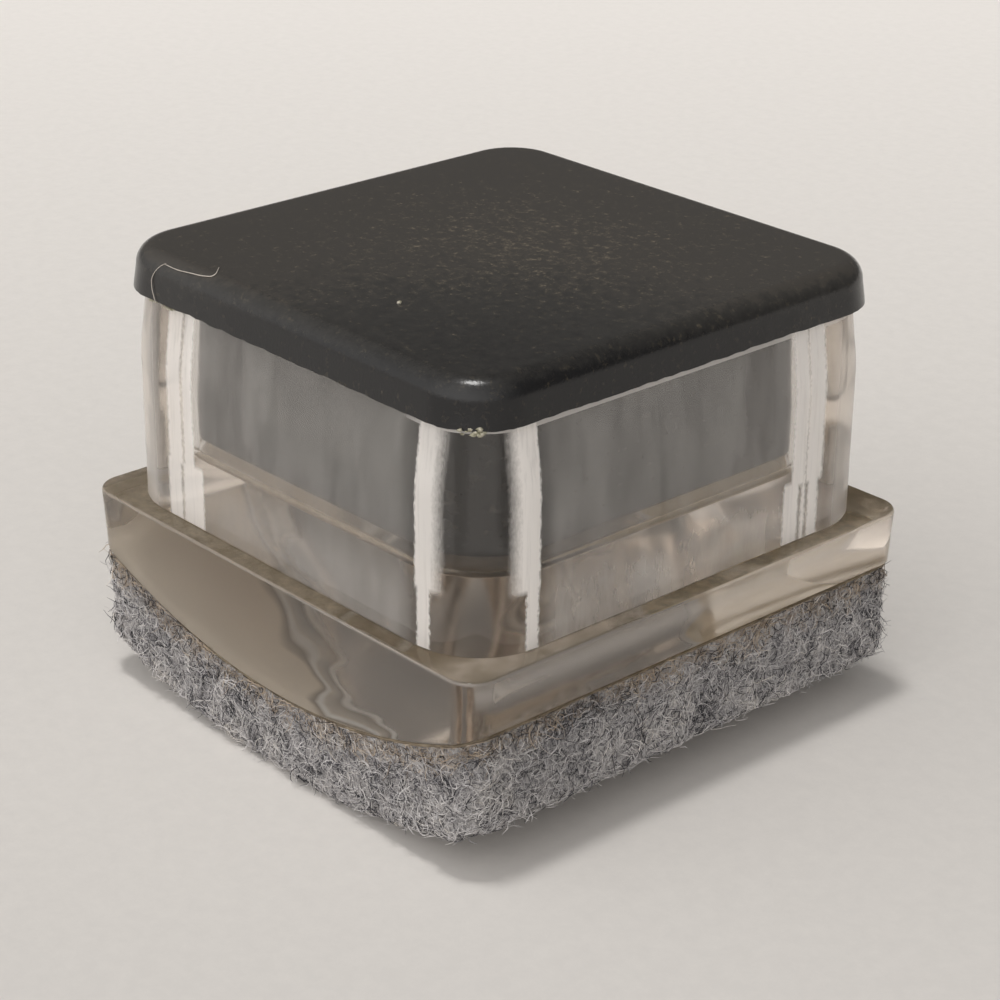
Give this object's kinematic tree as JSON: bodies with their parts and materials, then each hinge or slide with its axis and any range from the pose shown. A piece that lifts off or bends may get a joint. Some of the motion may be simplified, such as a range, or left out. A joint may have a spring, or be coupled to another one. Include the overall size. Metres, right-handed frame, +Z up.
{
  "type": "chair leg glide",
  "caption": "Square push-in chair leg glide: clear moulded block and flange with a rounded sole, closed by a black plugged cap and shod with a grey felt pad.",
  "frame": {"origin": "middle of the felt's worn flat, below the centre of the square", "axes": "+Z up into the chair leg, +Y along the axis that the sole is rounded about, +X across it"},
  "size_m": [0.0254, 0.0254, 0.0204],
  "materials": {
    "black_cap": "matte",
    "clear_body": "gloss",
    "adhesive": "satin",
    "grey_felt": "matte"
  },
  "bodies": {
    "root": {"top_cap": "black_cap", "glide_body": "clear_body", "adhesive_film": "adhesive", "felt_pad": "grey_felt"}
  },
  "joints": []
}
